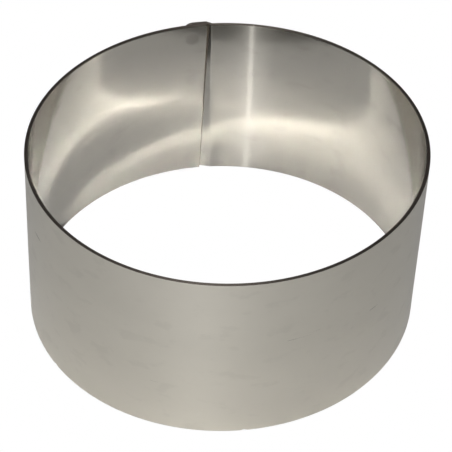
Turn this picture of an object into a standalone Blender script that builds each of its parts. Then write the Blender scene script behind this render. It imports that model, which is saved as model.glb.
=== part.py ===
"""Round pastry ring cutter, modelled the way it is made.

One strip of thin stainless steel is rolled into a ring. The strip's last few millimetres are joggled
outwards by its own thickness, so that they lap over the first end and the inside stays flush. A column
of spot welds holds the two plies of the lap together. Both rims are plain cut edges with the burr
taken off, and every weld leaves a shallow electrode mark on the inside and on the outside of the lap.

The ring stands on z = 0 with its axis on the origin, and its seam is on the +Y side.
"""

import math

import bmesh
import bpy
from mathutils import Matrix, Vector

# Strip and ring, in metres.
INNER_DIAMETER = 0.0900
STRIP_HEIGHT = 0.0450
STRIP_THICKNESS = 0.0008
EDGE_BREAK = 0.00012

# A hand-rolled ring springs slightly oval: its radius grows by this much along the long diameter
# and shrinks as much across it.
OUT_OF_ROUND = 0.0008
LONG_DIAMETER_ANGLE = math.radians(39.0)

# Lap seam. Lengths are measured along the strip.
SEAM_ANGLE = math.radians(90.0)
LAP_WIDTH = 0.0054
PLY_GAP = 0.0001
JOGGLE_RUN = 0.0024
JOGGLE_CLEARANCE = 0.0003

# Spot welds, one column up the lap, a little nearer to the outer ply's end.
WELD_COUNT = 4
WELD_EDGE_DISTANCE = 0.0037
WELD_OFFSET = 0.0007
NUGGET_DIAMETER = 0.0030
NUGGET_PENETRATION = 0.5  # of each ply's thickness
NUGGET_CLEARANCE = 0.0001
MARK_DIAMETER = 0.0030
MARK_DEPTH = 0.00006
MARK_ROUNDNESS = math.radians(30.0)  # how much of the electrode tip's curve sinks into the sheet

# Facets.
ARC_STEPS = 168
JOGGLE_STEPS = 12
LAP_STEPS = 6
EDGE_STEPS = 2
LENS_SIDES = 20
LENS_RINGS = 12

# What follows from the sizes above.
MIDDLE_RADIUS = (INNER_DIAMETER + STRIP_THICKNESS) / 2
JOGGLE_DEPTH = STRIP_THICKNESS + PLY_GAP
HALF_LAP_ANGLE = LAP_WIDTH / 2 / MIDDLE_RADIUS
INNER_END_ANGLE = SEAM_ANGLE - HALF_LAP_ANGLE
OUTER_END_ANGLE = SEAM_ANGLE + HALF_LAP_ANGLE + math.tau
JOGGLE_END_ANGLE = INNER_END_ANGLE + math.tau - JOGGLE_CLEARANCE / MIDDLE_RADIUS
JOGGLE_START_ANGLE = JOGGLE_END_ANGLE - JOGGLE_RUN / MIDDLE_RADIUS
WELD_PITCH = (STRIP_HEIGHT - 2 * WELD_EDGE_DISTANCE) / max(WELD_COUNT - 1, 1)

STEEL_COLOUR = (0.56, 0.54, 0.50, 1.0)
WELD_COLOUR = (0.42, 0.39, 0.35, 1.0)


def clear_scene():
    """Removes what the startup file holds."""
    for thing in list(bpy.data.objects):
        bpy.data.objects.remove(thing, do_unlink=True)


def new_collection(name):
    """A collection of that name, linked to the scene."""
    collection = bpy.data.collections.new(name)
    bpy.context.scene.collection.children.link(collection)
    return collection


def metal(name, colour, roughness):
    """A plain metallic material."""
    material = bpy.data.materials.new(name)
    material.use_nodes = True
    shader = material.node_tree.nodes["Principled BSDF"]
    shader.inputs["Base Color"].default_value = colour
    shader.inputs["Metallic"].default_value = 1.0
    shader.inputs["Roughness"].default_value = roughness
    return material


def add_object(name, data, collection, parent=None):
    """A new object in the collection, parented without moving it."""
    thing = bpy.data.objects.new(name, data)
    collection.objects.link(thing)
    thing.parent = parent
    return thing


def add_empty(name, collection, matrix, parent=None):
    """An empty that carries other objects."""
    empty = add_object(name, None, collection, parent)
    empty.matrix_local = matrix
    empty.empty_display_size = MIDDLE_RADIUS / 4
    return empty


def smooth_step(share):
    """Rises from 0 to 1 with level ends, as a pressed joggle does."""
    share = min(max(share, 0.0), 1.0)
    return share * share * (3 - 2 * share)


def strip_point(angle):
    """The middle of the strip's thickness at this angle along the wound strip."""
    climb = smooth_step((angle - JOGGLE_START_ANGLE) / (JOGGLE_END_ANGLE - JOGGLE_START_ANGLE))
    oval = OUT_OF_ROUND * math.cos(2 * (angle - LONG_DIAMETER_ANGLE))
    radius = MIDDLE_RADIUS + oval + JOGGLE_DEPTH * climb
    return Vector((radius * math.cos(angle), radius * math.sin(angle), 0))


def angles_between(start, end, steps):
    """Evenly spaced angles from start up to, but without, end."""
    return [start + (end - start) * step / steps for step in range(steps)]


def strip_path():
    """The strip seen from above: round the ring, up the joggle and over the lap."""
    angles = angles_between(INNER_END_ANGLE, JOGGLE_START_ANGLE, ARC_STEPS)
    angles += angles_between(JOGGLE_START_ANGLE, JOGGLE_END_ANGLE, JOGGLE_STEPS)
    angles += angles_between(JOGGLE_END_ANGLE, OUTER_END_ANGLE, LAP_STEPS)
    return [strip_point(angle) for angle in [*angles, OUTER_END_ANGLE]]


def ribbon_mesh(name, path, height):
    """An upright ribbon along a path, as the mesh of an extruded flat curve."""
    curve = bpy.data.curves.new(name, "CURVE")
    curve.dimensions = "2D"
    curve.fill_mode = "NONE"
    curve.extrude = height / 2
    spline = curve.splines.new("POLY")
    spline.points.add(len(path) - 1)
    for point, place in zip(spline.points, path):
        point.co = (*place, 1)
    guide = bpy.data.objects.new(name, curve)
    bpy.context.scene.collection.objects.link(guide)
    graph = bpy.context.evaluated_depsgraph_get()
    mesh = bpy.data.meshes.new_from_object(guide.evaluated_get(graph))
    bpy.data.objects.remove(guide, do_unlink=True)
    bpy.data.curves.remove(curve)
    return mesh


def lens_mesh(name, radius, half_height):
    """A flattened sphere, round about its own Z axis."""
    mesh = bpy.data.meshes.new(name)
    shape = bmesh.new()
    flatten = Matrix.Diagonal((radius, radius, half_height, 1))
    bmesh.ops.create_uvsphere(
        shape, u_segments=LENS_SIDES, v_segments=LENS_RINGS, radius=1, matrix=flatten
    )
    shape.to_mesh(mesh)
    shape.free()
    mesh.shade_smooth()
    return mesh


def seam_frame():
    """The middle of the lap at z = 0, with local Z square to the plies and pointing outwards."""
    inner_ply = strip_point(SEAM_ANGLE)
    outer_ply = strip_point(SEAM_ANGLE + math.tau)
    along = strip_point(SEAM_ANGLE + HALF_LAP_ANGLE) - strip_point(INNER_END_ANGLE)
    along.normalize()
    up = Vector((0, 0, 1))
    outwards = along.cross(up)
    turn = Matrix((along, -up, outwards)).transposed().to_4x4()
    return Matrix.Translation((inner_ply + outer_ply) / 2) @ turn


def weld_height(index):
    """How far up the seam a weld's centre is."""
    return WELD_EDGE_DISTANCE + index * WELD_PITCH


def place_on_weld_line(thing, height, outwards=0.0):
    """Puts an object on the weld line, at a height above the lower rim and a distance out of the lap."""
    thing.location = (WELD_OFFSET, -height, outwards)


def add_cutter(name, mesh, cutters, seam, height, outwards):
    """A cutter on the weld line, which the model shows only as wires."""
    cutter = add_object(name, mesh, cutters, seam)
    place_on_weld_line(cutter, height, outwards)
    cutter.hide_render = True
    cutter.display_type = "WIRE"
    return cutter


def add_weld_cutters(cutters, seam):
    """The nuggets' pockets between the plies, and the electrode marks on both faces of the lap."""
    pocket = lens_mesh(
        "nugget_pocket",
        NUGGET_DIAMETER / 2 + NUGGET_CLEARANCE,
        PLY_GAP / 2 + STRIP_THICKNESS * NUGGET_PENETRATION + NUGGET_CLEARANCE,
    )
    tip_height = MARK_DEPTH / (1 - math.cos(MARK_ROUNDNESS))
    tip = lens_mesh("electrode_tip", MARK_DIAMETER / 2 / math.sin(MARK_ROUNDNESS), tip_height)
    face = PLY_GAP / 2 + STRIP_THICKNESS
    tip_centre = face + tip_height - MARK_DEPTH
    for index in range(WELD_COUNT):
        height = weld_height(index)
        add_cutter(f"pocket_cutter_{index + 1}", pocket, cutters, seam, height, 0)
        add_cutter(f"outer_mark_cutter_{index + 1}", tip, cutters, seam, height, tip_centre)
        add_cutter(f"inner_mark_cutter_{index + 1}", tip, cutters, seam, height, -tip_centre)


def add_band(collection, cutters, ring, material):
    """The rolled strip: a ribbon with the strip's thickness, broken edges and the welds' hollows."""
    mesh = ribbon_mesh("band", strip_path(), STRIP_HEIGHT)
    mesh.shade_smooth()
    mesh.materials.append(material)
    band = add_object("band", mesh, collection, ring)
    band.location.z = STRIP_HEIGHT / 2

    thickness = band.modifiers.new("strip_thickness", "SOLIDIFY")
    thickness.thickness = STRIP_THICKNESS
    thickness.offset = 0
    thickness.use_even_offset = True

    edges = band.modifiers.new("broken_edges", "BEVEL")
    edges.width = EDGE_BREAK
    edges.segments = EDGE_STEPS
    edges.limit_method = "ANGLE"
    edges.angle_limit = math.radians(60)

    hollows = band.modifiers.new("weld_hollows", "BOOLEAN")
    hollows.operation = "DIFFERENCE"
    hollows.operand_type = "COLLECTION"
    hollows.collection = cutters
    hollows.solver = "EXACT"
    return band


def add_nuggets(collection, seam, material):
    """The lenses of fused metal that hold the plies together, one below the other."""
    half_height = PLY_GAP / 2 + STRIP_THICKNESS * NUGGET_PENETRATION
    for index in range(WELD_COUNT):
        name = f"weld_nugget_{index + 1}"
        mesh = lens_mesh(name, NUGGET_DIAMETER / 2, half_height)
        mesh.materials.append(material)
        nugget = add_object(name, mesh, collection, seam)
        place_on_weld_line(nugget, weld_height(index))


def main():
    """Builds the ring."""
    clear_scene()
    parts = new_collection("pastry_ring_cutter")
    cutters = new_collection("cutters")
    ring = add_empty("ring_axis", parts, Matrix.Identity(4))
    seam = add_empty("seam_line", parts, seam_frame(), ring)
    steel = metal("stainless_steel", STEEL_COLOUR, 0.28)
    fused = metal("weld_metal", WELD_COLOUR, 0.45)
    add_weld_cutters(cutters, seam)
    add_band(parts, cutters, ring, steel)
    add_nuggets(parts, seam, fused)


main()
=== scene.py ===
"""Looks of the round pastry ring cutter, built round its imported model.

The ring is one strip of stainless steel, rolled up, joggled at one end and spot-welded over the other.
Its inside is bright, its outside is satin and its cut edges are dull. All lengths are in metres.
"""

import logging
import math
from collections.abc import Callable, Iterator
from contextlib import contextmanager
from dataclasses import dataclass, field
from enum import Enum

import bmesh
import bpy
from mathutils import Matrix, Vector


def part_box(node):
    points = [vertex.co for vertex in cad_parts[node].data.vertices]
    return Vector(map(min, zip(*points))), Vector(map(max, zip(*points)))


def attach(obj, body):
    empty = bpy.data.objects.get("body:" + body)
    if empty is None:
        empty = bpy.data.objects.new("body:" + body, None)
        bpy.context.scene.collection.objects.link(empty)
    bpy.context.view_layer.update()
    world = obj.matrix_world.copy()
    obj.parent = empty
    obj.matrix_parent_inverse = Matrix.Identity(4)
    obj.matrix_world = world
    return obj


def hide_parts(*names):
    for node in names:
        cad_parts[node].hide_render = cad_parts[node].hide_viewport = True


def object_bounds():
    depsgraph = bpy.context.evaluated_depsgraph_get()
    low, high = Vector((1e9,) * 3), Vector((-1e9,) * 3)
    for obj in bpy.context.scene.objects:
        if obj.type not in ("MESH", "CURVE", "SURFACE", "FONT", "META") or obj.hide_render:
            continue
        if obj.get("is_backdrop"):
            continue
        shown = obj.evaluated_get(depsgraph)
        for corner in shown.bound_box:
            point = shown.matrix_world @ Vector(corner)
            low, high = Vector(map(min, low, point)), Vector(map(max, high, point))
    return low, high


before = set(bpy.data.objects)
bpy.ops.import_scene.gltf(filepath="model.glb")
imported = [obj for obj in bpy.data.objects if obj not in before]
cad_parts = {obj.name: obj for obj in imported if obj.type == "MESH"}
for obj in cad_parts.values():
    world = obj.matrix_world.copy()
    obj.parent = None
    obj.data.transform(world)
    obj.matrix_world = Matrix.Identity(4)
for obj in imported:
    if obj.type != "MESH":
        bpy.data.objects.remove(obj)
CAD_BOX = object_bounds()

STRIP_UV = "strip"
MERGE_DISTANCE = 1e-6
STEP_ROUNDING = 1e-6  # of a step: keeps a whole number of steps from being rounded up
QUARTER_TURN = 0.25  # as the shaders count an anisotropic rotation
WHITE = (1.0, 1.0, 1.0, 1.0)
CAMERA_AZIMUTH = math.radians(-11.9)  # from straight in front of the seam

Colour = tuple[float, float, float]
Grain = tuple[float, float, float]
Socket = bpy.types.NodeSocket

log = logging.getLogger("ring_cutter")


class Surface(Enum):
    """The three surfaces of the strip, in the order of the band's material slots."""

    INSIDE = 0
    OUTSIDE = 1
    EDGE = 2


@contextmanager
def editing(piece: bpy.types.Object) -> Iterator[bmesh.types.BMesh]:
    """Opens a piece in edit mode, with nothing else selected.

    Args:
        piece: The object to edit.

    Yields:
        The piece's edit mesh.
    """
    bpy.ops.object.select_all(action="DESELECT")
    bpy.context.view_layer.objects.active = piece
    piece.select_set(True)
    bpy.ops.object.mode_set(mode="EDIT")
    try:
        yield bmesh.from_edit_mesh(piece.data)
    finally:
        bpy.ops.object.mode_set(mode="OBJECT")


def select_points(piece: bpy.types.Object, wanted: Callable[[Vector], bool]) -> None:
    """Selects the points of a piece in edit mode by their place.

    Args:
        piece: The object in edit mode.
        wanted: Says of a point's place whether it is selected.
    """
    bpy.ops.mesh.select_mode(type="VERT")
    bpy.ops.mesh.select_all(action="DESELECT")
    shape = bmesh.from_edit_mesh(piece.data)
    for point in shape.verts:
        point.select = wanted(point.co)
    shape.select_flush(True)
    bmesh.update_edit_mesh(piece.data)


def apply_modifier(piece: bpy.types.Object, name: str) -> None:
    """Applies one modifier of a piece.

    Args:
        piece: The object that carries it.
        name: The modifier's name.
    """
    with bpy.context.temp_override(object=piece, active_object=piece, selected_objects=[piece]):
        bpy.ops.object.modifier_apply(modifier=name)


def settle(piece: bpy.types.Object) -> None:
    """Moves a piece's place, turn and scale into its mesh.

    Args:
        piece: The object to settle.
    """
    piece.data.transform(piece.matrix_basis)
    piece.matrix_basis = Matrix.Identity(4)


def direction(azimuth: float, elevation: float) -> Vector:
    """Points away from the ring.

    Args:
        azimuth: The angle round the ring's axis, from +X.
        elevation: The angle above the floor.

    Returns:
        A vector one metre long.
    """
    flat = math.cos(elevation)
    return Vector((flat * math.cos(azimuth), flat * math.sin(azimuth), math.sin(elevation)))


class NodeSheet:
    """Adds and joins the nodes of one material or world."""

    def __init__(self, holder: bpy.types.Material | bpy.types.World, output: str) -> None:
        """Starts a tree that holds only its output.

        Args:
            holder: The material or world.
            output: The output node's type.
        """
        self.holder = holder
        holder.use_nodes = True
        self.tree = holder.node_tree
        self.tree.nodes.clear()
        self.output = self.add(output)

    @classmethod
    def material(cls, name: str) -> "NodeSheet":
        """Starts a material of this name."""
        return cls(bpy.data.materials.new(name), "ShaderNodeOutputMaterial")

    @classmethod
    def world(cls, name: str) -> "NodeSheet":
        """Starts a world of this name."""
        return cls(bpy.data.worlds.new(name), "ShaderNodeOutputWorld")

    def add(self, kind: str, inputs: dict[str | int, object] | None = None, **settings: object) -> bpy.types.Node:
        """Adds a node.

        Args:
            kind: The node's type.
            inputs: Socket names or numbers, each with a value or with the socket that feeds it.
            **settings: The node's own properties.

        Returns:
            The new node.
        """
        node = self.tree.nodes.new(kind)
        for key, value in settings.items():
            setattr(node, key, value)
        for key, value in (inputs or {}).items():
            if isinstance(value, Socket):
                self.tree.links.new(value, node.inputs[key])
            else:
                node.inputs[key].default_value = value
        return node

    def combine(self, operation: str, *values: Socket | float) -> Socket:
        """Joins numbers by a Math node.

        Args:
            operation: The node's operation.
            *values: Its inputs, in order.

        Returns:
            The result.
        """
        return self.add("ShaderNodeMath", dict(enumerate(values)), operation=operation).outputs["Value"]

    def between(self, value: Socket, low: float, high: float, start: float = 0.0, end: float = 1.0) -> Socket:
        """Fades from one number to another while a value passes from low to high.

        Args:
            value: The value that is read.
            low: Where the fade starts.
            high: Where it ends.
            start: The result up to low.
            end: The result from high on.

        Returns:
            The faded number.
        """
        reads = {"Value": value, "From Min": low, "From Max": high, "To Min": start, "To Max": end}
        return self.add("ShaderNodeMapRange", reads, interpolation_type="SMOOTHSTEP").outputs["Result"]

    def noise(self, place: Socket, size: Grain, detail: float = 2.0) -> Socket:
        """Adds soft noise.

        Args:
            place: The coordinates, in metres.
            size: The noise's grain along each of them, in metres.
            detail: How many finer layers it has.

        Returns:
            The noise, about 0.5 on average.
        """
        scale = tuple(1 / side for side in size)
        spread = self.add("ShaderNodeVectorMath", {0: place, 1: scale}, operation="MULTIPLY")
        reads = {"Vector": spread.outputs["Vector"], "Scale": 1.0, "Detail": detail}
        return self.add("ShaderNodeTexNoise", reads).outputs["Fac"]

    def layer(self, base: float, *layers: tuple[Socket, float, float]) -> Socket:
        """Adds patterns to a number.

        Args:
            base: The number without them.
            *layers: Each pattern, how much it adds where it is 1, and the value at which it adds nothing.

        Returns:
            The number with the patterns.
        """
        total = base
        for pattern, amount, neutral in layers:
            total = self.combine("MULTIPLY_ADD", self.combine("SUBTRACT", pattern, neutral), amount, total)
        return total

    def tint(self, colour: Colour, shade: Socket) -> Socket:
        """Darkens or lightens a colour by a pattern.

        Args:
            colour: The colour.
            shade: The pattern, 1 where the colour stays as it is.

        Returns:
            The shaded colour.
        """
        scaled = self.add("ShaderNodeVectorMath", {0: colour, "Scale": shade}, operation="SCALE")
        return scaled.outputs["Vector"]

    def round_ring(self) -> Socket:
        """Gives the direction round the ring's axis, which rolling lines and grooves follow."""
        return self.add("ShaderNodeTangent", direction_type="RADIAL", axis="Z").outputs["Tangent"]

    def glint(self, colour: Socket, roughness: float, anisotropy: float) -> Socket:
        """Adds a gloss that grooves round the ring scatter across themselves.

        Args:
            colour: The metal's colour.
            roughness: The gloss's roughness.
            anisotropy: How much narrower it is along the grooves.

        Returns:
            The shader.
        """
        reads = {"Color": colour, "Roughness": roughness, "Anisotropy": anisotropy, "Tangent": self.round_ring()}
        return self.add("ShaderNodeBsdfAnisotropic", reads).outputs["BSDF"]

    def mix(self, share: float | Socket, first: Socket, second: Socket) -> Socket:
        """Mixes two shaders.

        Args:
            share: How much of the second one there is.
            first: The first shader.
            second: The second shader.

        Returns:
            The mixed shader.
        """
        return self.add("ShaderNodeMixShader", {0: share, 1: first, 2: second}).outputs["Shader"]

    def finish(self, shader: Socket) -> bpy.types.Material | bpy.types.World:
        """Joins the last shader to the output.

        Args:
            shader: The shader's socket.

        Returns:
            The finished material or world.
        """
        self.tree.links.new(shader, self.output.inputs["Surface"])
        return self.holder


@dataclass(frozen=True)
class WeldMarks:
    """Where the spot welds show on the unrolled strip, and how their heat has coloured it.

    The highest mark is the clearest one: on top of the heat tint that every mark has, it carries painted shade that
    stands in for the dark reflection near the top of the wall.
    """

    along: float
    lowest: float
    highest: float
    pitch: float
    radius: float = 0.0016
    fade: float = 0.0005
    lower_share: float = 0.4
    # Darkening of the marks: heat tint at every mark, plus painted shade at the highest one.
    shading: float = -0.17
    roughening: float = 0.03

    def mask(self, sheet: NodeSheet, place: Socket) -> Socket:
        """Draws the marks.

        Args:
            sheet: The material's nodes.
            place: The strip's coordinates.

        Returns:
            1 in the highest mark, whose extra darkness is painted shade, less in the lower ones and 0 away from
            them.
        """
        half = self.pitch / 2
        parts = sheet.add("ShaderNodeSeparateXYZ", {"Vector": place}).outputs
        along = sheet.combine("SUBTRACT", parts["X"], self.along)
        up = sheet.combine("WRAP", sheet.combine("SUBTRACT", parts["Y"], self.lowest), half, -half)
        away = sheet.add("ShaderNodeCombineXYZ", {"X": along, "Y": up}).outputs["Vector"]
        distance = sheet.add("ShaderNodeVectorMath", {0: away}, operation="LENGTH").outputs["Value"]
        marks = sheet.between(distance, self.radius - self.fade, self.radius + self.fade, 1.0, 0.0)
        # Painted shade: the highest mark gets the full darkening, the lower ones only lower_share of it.
        clear = sheet.between(parts["Y"], self.highest - self.pitch, self.highest, self.lower_share, 1.0)
        return sheet.combine("MULTIPLY", marks, clear)


@dataclass(frozen=True)
class Scratches:
    """Fine straight scratches that all lie one way."""

    turn: float
    length: float = 0.005
    width: float = 0.0001
    rarity: float = 0.72
    fade: float = 0.06

    def mask(self, sheet: NodeSheet, place: Socket) -> Socket:
        """Draws the scratches.

        Args:
            sheet: The material's nodes.
            place: The strip's coordinates.

        Returns:
            1 on a scratch and 0 beside it.
        """
        turned = sheet.add("ShaderNodeMapping", {"Vector": place, "Rotation": (0.0, 0.0, self.turn)})
        lines = sheet.noise(turned.outputs["Vector"], (self.length, self.width, 1.0), detail=1.0)
        return sheet.between(lines, self.rarity, self.rarity + self.fade)


@dataclass(frozen=True)
class RolledSteel:
    """A face of the rolled strip: polished metal whose fine rolling lines scatter part of the light upright.

    A share of it goes into a broad upright glow, and a smaller one into a narrow upright glint.
    """

    name: str
    colour: Colour = (0.60, 0.575, 0.52)
    roughness: float = 0.12
    glow_share: float = 0.16
    glow_roughness: float = 0.45
    glow_anisotropy: float = 1.0
    glint_share: float = 0.06
    glint_roughness: float = 0.24
    glint_anisotropy: float = 0.87

    streak_size: Grain = (0.04, 0.0004, 1.0)
    streak_roughening: float = 0.02
    streak_height: float = 1e-7
    cloud_size: Grain = (0.016, 0.010, 1.0)
    cloud_roughening: float = 0.01
    cloud_shading: float = 0.04
    smudge_size: Grain = (0.007, 0.004, 1.0)
    smudge_rarity: float = 0.56
    smudge_fade: float = 0.1
    smudge_roughening: float = 0.05
    smudge_shading: float = -0.04
    scratches: tuple[Scratches, ...] = (
        Scratches(math.radians(4)),
        Scratches(math.radians(62), length=0.003),
        Scratches(math.radians(-35), length=0.003),
    )
    scratch_roughening: float = 0.08
    scratch_shading: float = -0.03

    def build(self, marks: WeldMarks) -> bpy.types.Material:
        """Makes the material.

        Args:
            marks: The spot welds' marks on this face.

        Returns:
            The material, whose pattern follows the strip.
        """
        sheet = NodeSheet.material(self.name)
        place = sheet.add("ShaderNodeUVMap", uv_map=STRIP_UV).outputs["UV"]
        streaks = sheet.noise(place, self.streak_size, detail=3.0)
        clouds = sheet.noise(place, self.cloud_size)
        spots = sheet.noise(place, self.smudge_size, detail=4.0)
        smudges = sheet.between(spots, self.smudge_rarity, self.smudge_rarity + self.smudge_fade)
        welds = marks.mask(sheet, place)
        scratched, *others = [scratches.mask(sheet, place) for scratches in self.scratches]
        for other in others:
            scratched = sheet.combine("MAXIMUM", scratched, other)

        rough = sheet.layer(
            self.roughness,
            (streaks, 2 * self.streak_roughening, 0.5),
            (clouds, 2 * self.cloud_roughening, 0.5),
            (smudges, self.smudge_roughening, 0.0),
            (scratched, self.scratch_roughening, 0.0),
            (welds, marks.roughening, 0.0),
        )
        shade = sheet.layer(
            1.0,
            (clouds, 2 * self.cloud_shading, 0.5),
            (smudges, self.smudge_shading, 0.0),
            (scratched, self.scratch_shading, 0.0),
            # Weld marks: heat tint, with painted shade on the highest mark.
            (welds, marks.shading, 0.0),
        )
        tint = sheet.tint(self.colour, shade)
        relief = sheet.add("ShaderNodeBump", {"Height": streaks, "Distance": self.streak_height})
        polish = sheet.add(
            "ShaderNodeBsdfPrincipled",
            {"Base Color": tint, "Metallic": 1.0, "Roughness": rough, "Normal": relief.outputs["Normal"]},
        )
        glow = sheet.add(
            "ShaderNodeBsdfPrincipled",
            {
                "Base Color": tint,
                "Metallic": 1.0,
                "Roughness": self.glow_roughness,
                "Anisotropic": self.glow_anisotropy,
                "Anisotropic Rotation": QUARTER_TURN,
                "Tangent": sheet.round_ring(),
            },
        )
        soft = sheet.mix(self.glow_share, polish.outputs["BSDF"], glow.outputs["BSDF"])
        if not self.glint_share:
            return sheet.finish(soft)
        glint = sheet.glint(tint, self.glint_roughness, self.glint_anisotropy)
        return sheet.finish(sheet.mix(self.glint_share, soft, glint))


@dataclass(frozen=True)
class DullMetal:
    """A grainy metal surface, such as a sheared edge or a weld.

    Grooves that run round the ring may scatter a share of the light across themselves.
    """

    name: str
    colour: Colour
    roughness: float
    grain_size: float
    grain_range: tuple[float, float] = (0.3, 0.7)
    grain_contrast: float = 0.25
    grain_height: float = 1e-5
    glint_share: float = 0.0
    glint_roughness: float = 0.6
    glint_anisotropy: float = 0.4

    def build(self) -> bpy.types.Material:
        """Makes the material.

        Returns:
            The material.
        """
        sheet = NodeSheet.material(self.name)
        place = sheet.add("ShaderNodeTexCoord").outputs["Object"]
        grain = sheet.noise(place, (self.grain_size,) * 3, detail=3.0)
        shade = sheet.between(grain, *self.grain_range, 1 - self.grain_contrast, 1 + self.grain_contrast)
        tint = sheet.tint(self.colour, shade)
        relief = sheet.add("ShaderNodeBump", {"Height": grain, "Distance": self.grain_height})
        metal = sheet.add(
            "ShaderNodeBsdfPrincipled",
            {
                "Base Color": tint,
                "Metallic": 1.0,
                "Roughness": sheet.combine("MULTIPLY", shade, self.roughness),
                "Normal": relief.outputs["Normal"],
            },
        )
        if not self.glint_share:
            return sheet.finish(metal.outputs["BSDF"])
        glint = sheet.glint(tint, self.glint_roughness, self.glint_anisotropy)
        return sheet.finish(sheet.mix(self.glint_share, metal.outputs["BSDF"], glint))


@dataclass(frozen=True)
class Nick:
    """A small dent in the lower rim."""

    angle: float
    depth: float
    reach: float


@dataclass
class RolledBand:
    """The rolled strip: a ring whose last stretch is joggled outwards over its first end.

    Angles are those on the finished, oval ring, at the level of its lower rim.
    """

    inner_diameter: float = 0.0900
    thickness: float = 0.0008
    edge_break: float = 0.00012
    edge_steps: int = 2
    edge_turn: float = math.radians(60)
    inner_edge_rise: float = 0.3
    outer_edge_rise: float = 0.95
    end_facing: float = 0.97
    rim_clearance: float = 0.00001

    out_of_round: float = 0.00078
    long_diameter_angle: float = math.radians(39.0)
    waviness: float = 0.00004
    wave_size: float = 0.03

    ply_gap: float = 0.0001
    first_end: float = math.radians(87.4)
    first_end_lean: float = math.radians(-1.1)
    joggle_start: float = math.radians(83.55)
    joggle_start_lean: float = math.radians(1.15)
    joggle_start_reach: float = math.radians(8.0)
    joggle_bend_share: float = 0.12
    joggle_share_at_first_end: float = 0.83
    joggle_steps: int = 24
    last_end: float = math.radians(93.35)
    corner_radius: float = 0.0022
    corner_steps: int = 5

    weld_heights: tuple[float, ...] = (0.0037, 0.01623, 0.02877, 0.0413)
    weld_angle: float = math.radians(90.9)
    nugget_radius: float = 0.0015
    nugget_half_height: float = 0.00045
    nugget_clearance: float = 0.0001
    pocket_sides: int = 24
    pocket_rings: int = 12
    mark_radius: float = 0.0017
    mark_depth: float = 0.000012

    nicks: tuple[Nick, ...] = (
        Nick(math.radians(-93.5), 0.0003, 0.0009),
        Nick(math.radians(-155.0), 0.00025, 0.0008),
    )

    arc_step: float = math.radians(1.0)
    fine_step: float = math.radians(0.32)
    row_gap: float = 0.0012
    fine_row_gap: float = 0.0003

    low: float = field(init=False)
    high: float = field(init=False)

    @property
    def middle_radius(self) -> float:
        """The radius of the middle of the strip's thickness, before the ring springs oval."""
        return (self.inner_diameter + self.thickness) / 2

    @property
    def joggle_depth(self) -> float:
        """How far the joggle takes the strip outwards."""
        return self.thickness + self.ply_gap

    @property
    def joggle_end(self) -> float:
        """The angle at which the joggle is done, at the lower rim."""
        return self.joggle_start + (self.first_end - self.joggle_start) / self.joggle_share_at_first_end

    @property
    def joggle_end_lean(self) -> float:
        """How far the joggle's end leans over the strip's height."""
        narrows = self.first_end_lean - self.joggle_start_lean
        return self.joggle_start_lean + narrows / self.joggle_share_at_first_end

    @property
    def stretch(self) -> float:
        """The share by which the long diameter grows and the short one shrinks."""
        return self.out_of_round / self.middle_radius

    def weld_marks(self, turns: int) -> WeldMarks:
        """Says where the welds' marks lie on the unrolled strip.

        Args:
            turns: 0 for the inner ply of the lap and 1 for the outer one.

        Returns:
            The marks.
        """
        lowest, next_up = self.weld_heights[:2]
        along = (self.weld_angle - self.first_end + turns * math.tau) * self.middle_radius
        return WeldMarks(along, lowest, self.weld_heights[-1], next_up - lowest)

    def round_angle(self, angle: float) -> float:
        """Finds where a point on the finished, oval ring lies on the round one.

        Args:
            angle: The point's angle on the oval ring.

        Returns:
            Its angle on the round ring, within half a turn of the long diameter.
        """
        turned = angle - self.long_diameter_angle
        swell = 1 + self.stretch
        shrink = 1 - self.stretch
        return self.long_diameter_angle + math.atan2(math.sin(turned) / shrink, math.cos(turned) / swell)

    def face_place(self, angle: float, outwards: float, height: float) -> Vector:
        """Finds a place on the finished ring, without its waves.

        Args:
            angle: The angle on the oval ring.
            outwards: How far it lies outside the middle of the inner ply.
            height: Its height.

        Returns:
            The place.
        """
        oval = self.out_of_round * math.cos(2 * (angle - self.long_diameter_angle))
        radius = self.middle_radius + oval + outwards
        return Vector((radius * math.cos(angle), radius * math.sin(angle), height))

    def build(self) -> bpy.types.Object:
        """Models the band.

        Returns:
            The finished piece, without materials.
        """
        low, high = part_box("band")
        self.low = low[2] + self.rim_clearance
        self.high = high[2] - self.rim_clearance
        piece = self.start_line()
        self.roll(piece)
        self.lean(piece, "first_end", self.first_end_lean)
        self.lean(piece, "joggle_start", self.joggle_start_lean)
        self.lean(piece, "joggle_end", self.joggle_end_lean)
        self.spring_oval(piece)
        self.add_waves(piece)
        self.thicken(piece)
        self.press_marks(piece)
        self.dent_rim(piece)
        self.lay_out(piece)
        self.cut_pockets(piece)
        self.even_normals(piece)
        return piece

    def row_heights(self) -> list[float]:
        """Spaces the rows of points between the rims, closer together at the welds.

        Returns:
            The rows' heights, without the two rims.
        """
        heights = []
        height = self.low + self.fine_row_gap
        while height < self.high - self.fine_row_gap / 2:
            heights.append(height)
            away = min(abs(height - weld) for weld in self.weld_heights)
            fine = away < self.mark_radius + self.fine_row_gap
            height += self.fine_row_gap if fine else self.row_gap
        return heights

    def start_line(self) -> bpy.types.Object:
        """Makes the strip's first end as an upright line of points.

        Returns:
            The piece.
        """
        side = self.high - self.low
        bpy.ops.object.select_all(action="DESELECT")
        bpy.ops.mesh.primitive_plane_add(size=side, rotation=(math.radians(90), 0, 0))
        piece = bpy.context.object
        piece.name = piece.data.name = "rolled_band"
        settle(piece)
        piece.location = (self.middle_radius + side / 2, 0, self.low + side / 2)
        settle(piece)
        with editing(piece):
            select_points(piece, lambda co: co.x > self.middle_radius + side / 2)
            bpy.ops.mesh.delete(type="VERT")
            for height in self.row_heights():
                bpy.ops.mesh.select_all(action="SELECT")
                bpy.ops.mesh.bisect(plane_co=(0, 0, height), plane_no=(0, 0, 1))
        piece.rotation_euler.z = self.round_angle(self.first_end)
        settle(piece)
        return piece

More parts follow.
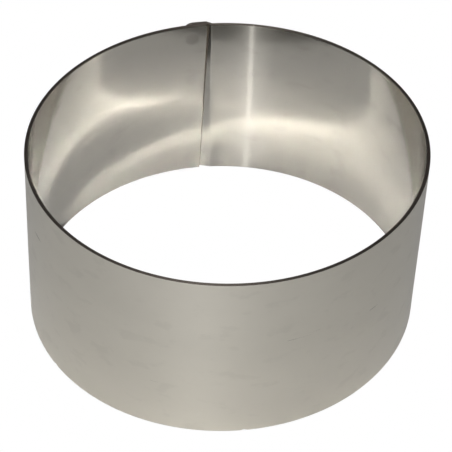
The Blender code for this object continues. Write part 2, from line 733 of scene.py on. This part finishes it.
    def roll(self, piece: bpy.types.Object) -> None:
        """Sweeps the line round the ring, up the joggle and over the lap.

        Args:
            piece: The line of points.
        """
        for name in ("first_end", "joggle_start", "joggle_end"):
            piece.vertex_groups.new(name=name)
        first = self.round_angle(self.first_end)
        fine_end = self.round_angle(self.weld_angle + (self.mark_radius + self.row_gap) / self.middle_radius)
        joggle_start = self.round_angle(self.joggle_start) + math.tau
        joggle_end = self.round_angle(self.joggle_end) + math.tau
        last = self.round_angle(self.last_end) + math.tau
        with editing(piece):
            bpy.ops.mesh.select_all(action="SELECT")
            self.weigh(piece, first_end=1.0)
            for share in self.sweep_to(first, fine_end, self.fine_step):
                self.weigh(piece, first_end=1 - share)
            self.sweep(joggle_start - self.joggle_start_reach - fine_end, self.arc_step)
            for share in self.sweep_to(joggle_start - self.joggle_start_reach, joggle_start, self.arc_step):
                self.weigh(piece, joggle_start=share)
            self.climb_joggle(piece, joggle_end - joggle_start)
            radius = self.middle_radius + self.joggle_depth
            corner = self.corner_radius / radius
            for share in self.sweep_to(joggle_end, last - corner, self.fine_step):
                self.weigh(piece, joggle_end=1 - share)
            self.round_corners(corner)
            bpy.ops.mesh.select_all(action="SELECT")
            bpy.ops.mesh.remove_doubles(threshold=MERGE_DISTANCE)
            bpy.ops.mesh.normals_make_consistent(inside=False)

    def climb_joggle(self, piece: bpy.types.Object, angle: float) -> None:
        """Sweeps the selected line outwards up the joggle.

        Args:
            piece: The half-rolled ribbon, in edit mode.
            angle: The joggle's reach round the ring.
        """
        before = self.middle_radius
        for step in range(1, self.joggle_steps + 1):
            along = step / self.joggle_steps
            after = self.middle_radius + self.joggle_depth * self.joggle_rise(along)
            self.sweep(angle / self.joggle_steps, angle)
            bpy.ops.transform.resize(value=(after / before, after / before, 1), center_override=(0, 0, 0))
            self.weigh(piece, joggle_start=1 - along, joggle_end=along)
            before = after

    def joggle_rise(self, along: float) -> float:
        """Says how far the joggle has climbed: a bend, a straight slope and a bend back.

        Args:
            along: The share of the joggle's length.

        Returns:
            The share of its depth.
        """
        slope = 1 / (1 - self.joggle_bend_share)
        left = min(along, 1 - along)
        if left < self.joggle_bend_share:
            rise = slope * left * left / self.joggle_bend_share / 2
        else:
            rise = slope * (left - self.joggle_bend_share / 2)
        return rise if along < 0.5 else 1 - rise

    def sweep(self, angle: float, step: float) -> None:
        """Spins the selected line about the ring's axis.

        Args:
            angle: How far, anticlockwise.
            step: The widest step.
        """
        steps = math.ceil(angle / step - STEP_ROUNDING)
        bpy.ops.mesh.spin(steps=steps, angle=angle, center=(0, 0, 0), axis=(0, 0, -1), use_auto_merge=False)

    def sweep_to(self, start: float, end: float, step: float) -> Iterator[float]:
        """Spins the selected line on in single steps.

        Args:
            start: The line's angle.
            end: The angle to reach.
            step: The widest step.

        Yields:
            The share of the way that is done, after each step.
        """
        steps = math.ceil((end - start) / step - STEP_ROUNDING)
        for done in range(1, steps + 1):
            self.sweep((end - start) / steps, step * 2)
            yield done / steps

    def weigh(self, piece: bpy.types.Object, **shares: float) -> None:
        """Sets how far the selected line follows each lean.

        Args:
            piece: The ribbon, in edit mode.
            **shares: A weight for each vertex group that the line follows.
        """
        shape = bmesh.from_edit_mesh(piece.data)
        layer = shape.verts.layers.deform.verify()
        for point in shape.verts:
            if point.select:
                for group in piece.vertex_groups:
                    point[layer][group.index] = shares.get(group.name, 0.0)
        bmesh.update_edit_mesh(piece.data)

    def round_corners(self, reach: float) -> None:
        """Sweeps the selected line on to the strip's last end, round its two corners.

        Args:
            reach: The corners' angle round the ring.
        """
        side = self.high - self.low
        middle = (self.high + self.low) / 2
        along, length = 0.0, side
        for step in range(1, self.corner_steps + 1):
            turn = math.radians(90) * step / self.corner_steps
            self.sweep((math.sin(turn) - along) * reach, reach)
            shorter = side - 2 * self.corner_radius * (1 - math.cos(turn))
            bpy.ops.transform.resize(value=(1, 1, shorter / length), center_override=(0, 0, middle))
            along, length = math.sin(turn), shorter

    def lean(self, piece: bpy.types.Object, group: str, angle: float) -> None:
        """Leans one of the strip's upright lines along the wall.

        Args:
            piece: The rolled ribbon.
            group: The vertex group that holds the line and what it pulls along.
            angle: How far the line's upper end moves round the ring.
        """
        twist = piece.modifiers.new(group, "SIMPLE_DEFORM")
        twist.deform_method = "TWIST"
        twist.deform_axis = "Z"
        twist.angle = angle
        twist.vertex_group = group
        apply_modifier(piece, twist.name)

    def spring_oval(self, piece: bpy.types.Object) -> None:
        """Lets the ring spring slightly out of round.

        Args:
            piece: The rolled ribbon.
        """
        piece.rotation_euler.z = -self.long_diameter_angle
        settle(piece)
        piece.scale = (1 + self.stretch, 1 - self.stretch, 1)
        settle(piece)
        piece.rotation_euler.z = self.long_diameter_angle
        settle(piece)

    def add_waves(self, piece: bpy.types.Object) -> None:
        """Gives the sheet the slight waviness that rolling leaves.

        Args:
            piece: The rolled ribbon.
        """
        waves = bpy.data.textures.new("sheet_waves", "CLOUDS")
        waves.noise_scale = self.wave_size
        modifier = piece.modifiers.new("waves", "DISPLACE")
        modifier.texture = waves
        modifier.strength = 2 * self.waviness
        modifier.mid_level = 0.5
        apply_modifier(piece, modifier.name)

    def thicken(self, piece: bpy.types.Object) -> None:
        """Gives the ribbon the strip's thickness and its deburred edges.

        Args:
            piece: The rolled ribbon.
        """
        wall = piece.modifiers.new("wall", "SOLIDIFY")
        wall.thickness = self.thickness
        wall.offset = 0
        wall.use_even_offset = True
        apply_modifier(piece, wall.name)
        edges = piece.modifiers.new("edges", "BEVEL")
        edges.width = self.edge_break
        edges.segments = self.edge_steps
        edges.limit_method = "ANGLE"
        edges.angle_limit = self.edge_turn
        apply_modifier(piece, edges.name)

    def press_marks(self, piece: bpy.types.Object) -> None:
        """Presses the electrodes' shallow marks into both faces of the lap.

        Args:
            piece: The thick band.
        """
        out = Vector((math.cos(self.weld_angle), math.sin(self.weld_angle), 0))
        faces = (-self.thickness / 2, self.joggle_depth + self.thickness / 2)
        with editing(piece):
            for height in self.weld_heights:
                for side in faces:
                    place = self.face_place(self.weld_angle, side, height)
                    push = out * math.copysign(self.mark_depth, -side)
                    self.push_point(piece, place, push, self.mark_radius, "SPHERE")

    def dent_rim(self, piece: bpy.types.Object) -> None:
        """Dents the lower rim where it was knocked.

        Args:
            piece: The thick band.
        """
        with editing(piece):
            for nick in self.nicks:
                place = self.face_place(nick.angle, self.thickness / 2, self.low)
                self.push_point(piece, place, Vector((0, 0, nick.depth)), nick.reach, "SMOOTH")

    def push_point(
        self, piece: bpy.types.Object, place: Vector, push: Vector, reach: float, falloff: str
    ) -> None:
        """Moves the point nearest to a place, and what lies around it.

        Args:
            piece: The piece in edit mode.
            place: Where the push is.
            push: How far the middle moves.
            reach: How far from the middle the surface still moves.
            falloff: The profile of the push.
        """
        shape = bmesh.from_edit_mesh(piece.data)
        nearest = min(shape.verts, key=lambda point: (point.co - place).length_squared)
        bpy.ops.mesh.select_all(action="DESELECT")
        nearest.select = True
        shape.select_flush(True)
        bmesh.update_edit_mesh(piece.data)
        bpy.ops.transform.translate(
            value=push,
            use_proportional_edit=True,
            use_proportional_connected=True,
            proportional_edit_falloff=falloff,
            proportional_size=reach,
        )

    def lay_out(self, piece: bpy.types.Object) -> None:
        """Unrolls the band into a UV map in metres, and sorts its faces by surface.

        Args:
            piece: The thick band.
        """
        piece.data.shade_smooth()
        layer = piece.data.uv_layers.new(name=STRIP_UV)
        points = piece.data.vertices
        for face in piece.data.polygons:
            centre = face.center
            out = Vector((centre.x, centre.y, 0)).normalized()
            along = Vector((-out.y, out.x, 0))
            facing = face.normal.dot(out)
            rises = self.inner_edge_rise if facing < 0 else self.outer_edge_rise
            if abs(face.normal.z) > rises or abs(face.normal.dot(along)) > self.end_facing:
                surface = Surface.EDGE
            else:
                surface = Surface.INSIDE if facing < 0 else Surface.OUTSIDE
            face.material_index = surface.value
            turn = self.turn_from_first_end(centre, facing)
            for loop in face.loop_indices:
                place = points[piece.data.loops[loop].vertex_index].co
                step = math.remainder(math.atan2(place.y, place.x) - math.atan2(centre.y, centre.x), math.tau)
                layer.data[loop].uv = ((turn + step) * self.middle_radius, place.z)

    def turn_from_first_end(self, place: Vector, facing: float) -> float:
        """Finds how far along the rolled strip a place on its surface is.

        Args:
            place: A place on the strip's surface.
            facing: How much the surface there faces outwards, from -1 to 1.

        Returns:
            The angle from the strip's first end at the lower rim. It passes a full turn on the outer ply.
        """
        angle = math.atan2(place.y, place.x)
        oval = self.out_of_round * math.cos(2 * (angle - self.long_diameter_angle))
        outwards = math.hypot(place.x, place.y) - self.middle_radius - oval
        end = self.first_end + self.first_end_lean * (place.z - self.low) / (self.high - self.low)
        turn = (angle - end) % math.tau
        between_plies = (self.joggle_depth + facing * self.thickness) / 2
        over_first_end = turn < self.last_end - end and outwards > between_plies
        return turn + end - self.first_end + (math.tau if over_first_end else 0)

    def cut_pockets(self, piece: bpy.types.Object) -> None:
        """Cuts the pockets that hold the weld nuggets between the plies.

        Args:
            piece: The thick band.
        """
        pockets = []
        for height in self.weld_heights:
            bpy.ops.object.select_all(action="DESELECT")
            bpy.ops.mesh.primitive_uv_sphere_add(segments=self.pocket_sides, ring_count=self.pocket_rings, radius=1)
            pocket = bpy.context.object
            wide = self.nugget_radius + self.nugget_clearance
            deep = self.nugget_half_height + self.nugget_clearance
            pocket.scale = (deep, wide, wide)
            pocket.rotation_euler.z = self.weld_angle
            pocket.location = self.face_place(self.weld_angle, self.joggle_depth / 2, height)
            settle(pocket)
            pockets.append(pocket)
        for pocket in pockets:
            pocket.select_set(True)
        bpy.ops.object.join()
        cutter = bpy.context.object
        cut = piece.modifiers.new("pockets", "BOOLEAN")
        cut.operation = "DIFFERENCE"
        cut.solver = "EXACT"
        cut.object = cutter
        apply_modifier(piece, cut.name)
        bpy.data.objects.remove(cutter, do_unlink=True)

    def even_normals(self, piece: bpy.types.Object) -> None:
        """Keeps the broken edges from bending the shading of the wall.

        Args:
            piece: The finished band.
        """
        even = piece.modifiers.new("even_normals", "WEIGHTED_NORMAL")
        even.mode = "FACE_AREA"
        apply_modifier(piece, even.name)


@dataclass(frozen=True)
class Camera:
    """The photograph's camera, by the place of the ring's foot in the picture."""

    image_side: int = 452
    focal_length: float = 1964.0
    foot_x: float = 221.87
    foot_y: float = 287.95
    foot_depth: float = 0.47257
    azimuth: float = CAMERA_AZIMUTH
    elevation: float = math.radians(42.26)
    roll: float = math.radians(2.58)
    sensor: float = 36.0

    def build(self) -> None:
        """Makes the camera and points the scene at it."""
        look = Vector((0, math.cos(self.elevation), -math.sin(self.elevation)))
        level = Vector((1, 0, 0))
        upright = level.cross(look)
        right = math.cos(self.roll) * level + math.sin(self.roll) * upright
        up = math.cos(self.roll) * upright - math.sin(self.roll) * level
        half = self.image_side / 2
        scale = self.foot_depth / self.focal_length
        foot = right * (self.foot_x - half) * scale - up * (self.foot_y - half) * scale
        place = -(foot + look * self.foot_depth)
        turn = Matrix((right, up, -look)).transposed().to_4x4()
        data = bpy.data.cameras.new("camera")
        data.sensor_width = self.sensor
        data.lens = self.focal_length / self.image_side * self.sensor
        camera = bpy.data.objects.new("camera", data)
        bpy.context.scene.collection.objects.link(camera)
        camera.matrix_world = Matrix.Rotation(self.azimuth, 4, "Z") @ Matrix.Translation(place) @ turn
        bpy.context.scene.camera = camera


@dataclass(frozen=True)
class Lamp:
    """A round area light that faces the ring."""

    name: str
    azimuth: float
    elevation: float
    distance: float
    size: float
    power: float
    aim_height: float = 0.02

    def build(self) -> None:
        """Hangs the light."""
        data = bpy.data.lights.new(self.name, "AREA")
        data.shape = "DISK"
        data.size = self.size
        data.energy = self.power
        light = bpy.data.objects.new(self.name, data)
        bpy.context.scene.collection.objects.link(light)
        aim = Vector((0, 0, self.aim_height))
        way = direction(self.azimuth, self.elevation)
        light.location = aim + way * self.distance
        light.rotation_euler = (-way).to_track_quat("-Z", "Y").to_euler()


@dataclass(frozen=True)
class Studio:
    """A pale floor, a small bright lamp near the camera and a soft room with a darker side."""

    floor_side: float = 4.0
    floor_colour: Colour = (0.8, 0.8, 0.8)
    floor_drop: float = 0.0001
    fill: float = 0.36
    dark_fill: float = 0.05
    dark_azimuth: float = CAMERA_AZIMUTH + math.radians(65)
    dark_elevation: float = math.radians(40)
    dark_from: float = -0.35
    dark_to: float = 0.3
    key: Lamp = Lamp(
        name="key",
        azimuth=CAMERA_AZIMUTH + math.radians(-98),
        elevation=math.radians(49.5),
        distance=0.85,
        size=0.02,
        power=4.6,
    )

    def build(self) -> None:
        """Sets up the floor, the lights and the picture's tone."""
        self.build_floor()
        self.build_room()
        self.key.build()
        scene = bpy.context.scene
        scene.view_settings.view_transform = "Standard"
        scene.cycles.blur_glossy = 0.0
        scene.cycles.sample_clamp_indirect = 0.0
        scene.cycles.use_guiding = True

    def build_floor(self) -> None:
        """Lays the floor, which the camera sees burnt out to white."""
        bpy.ops.object.select_all(action="DESELECT")
        bpy.ops.mesh.primitive_plane_add(size=self.floor_side, location=(0, 0, -self.floor_drop))
        floor = bpy.context.object
        floor.name = floor.data.name = "floor"
        sheet = NodeSheet.material("white_paper")
        paper = sheet.add("ShaderNodeBsdfDiffuse", {"Color": (*self.floor_colour, 1.0)})
        white = sheet.add("ShaderNodeEmission", {"Color": WHITE, "Strength": 1.0})
        floor.data.materials.append(self.finish_for_camera(sheet, paper.outputs["BSDF"], white.outputs["Emission"]))
        floor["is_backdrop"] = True

    def build_room(self) -> None:
        """Fills the room with soft light, less of it from above and behind the ring."""
        sheet = NodeSheet.world("room")
        way = sheet.add("ShaderNodeTexCoord").outputs["Generated"]
        darkest = direction(self.dark_azimuth, self.dark_elevation)
        towards = sheet.add("ShaderNodeVectorMath", {0: way, 1: darkest}, operation="DOT_PRODUCT")
        level = sheet.between(towards.outputs["Value"], self.dark_from, self.dark_to, self.fill, self.dark_fill)
        fill = sheet.add("ShaderNodeBackground", {"Color": WHITE, "Strength": level})
        white = sheet.add("ShaderNodeBackground", {"Color": WHITE, "Strength": 1.0})
        bpy.context.scene.world = self.finish_for_camera(
            sheet, fill.outputs["Background"], white.outputs["Background"]
        )

    def finish_for_camera(
        self, sheet: NodeSheet, real: Socket, seen: Socket
    ) -> bpy.types.Material | bpy.types.World:
        """Shows one shader to the camera and lights the ring by another.

        Args:
            sheet: The nodes of the floor or the room.
            real: The shader that lights the ring and shows in its reflections.
            seen: The shader that the camera sees.

        Returns:
            The finished material or world.
        """
        path = sheet.add("ShaderNodeLightPath")
        return sheet.finish(sheet.mix(path.outputs["Is Camera Ray"], real, seen))


@dataclass(frozen=True)
class RingCutter:
    """The whole cutter: the rolled band and the nuggets that hold its lap."""

    inside: RolledSteel = RolledSteel("bright_rolled_steel", cloud_shading=0.07, smudge_shading=-0.06)
    outside: RolledSteel = RolledSteel(
        "satin_rolled_steel",
        colour=(0.67, 0.64, 0.57),
        roughness=0.28,
        glow_share=0.5,
        glow_roughness=0.5,
        glow_anisotropy=0.75,
        glint_share=0.0,
        streak_roughening=0.006,
        scratch_shading=0.0,
        scratch_roughening=0.01,
    )
    edge: DullMetal = DullMetal(
        "sheared_edge",
        colour=(0.46, 0.40, 0.35),
        roughness=0.24,
        grain_size=0.001,
        grain_contrast=0.1,
        glint_share=0.35,
    )
    weld: DullMetal = DullMetal("weld_metal", colour=(0.42, 0.39, 0.35), roughness=0.5, grain_size=0.0002)

    def build(self) -> None:
        """Models the band, dresses it and dresses the nuggets."""
        shape = RolledBand()
        band = shape.build()
        inner_marks = shape.weld_marks(turns=0)
        outer_marks = shape.weld_marks(turns=1)
        for material in (self.inside.build(inner_marks), self.outside.build(outer_marks), self.edge.build()):
            band.data.materials.append(material)
        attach(band, "root")
        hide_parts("band")
        log.info("%s: %d faces", band.name, len(band.data.polygons))
        metal = self.weld.build()
        for name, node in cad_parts.items():
            if name.startswith("weld_nugget"):
                node.data.materials.clear()
                node.data.materials.append(metal)
                log.info("%s: dressed", name)


def main() -> None:
    """Builds the cutter and its studio."""
    logging.basicConfig(level=logging.INFO, format="%(name)s %(message)s")
    RingCutter().build()
    Studio().build()
    Camera().build()
    boxes = {"cad": CAD_BOX, "visual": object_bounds()}
    sizes = {name: [[float(value) for value in corner] for corner in box] for name, box in boxes.items()}


if __name__ == "__main__":
    main()
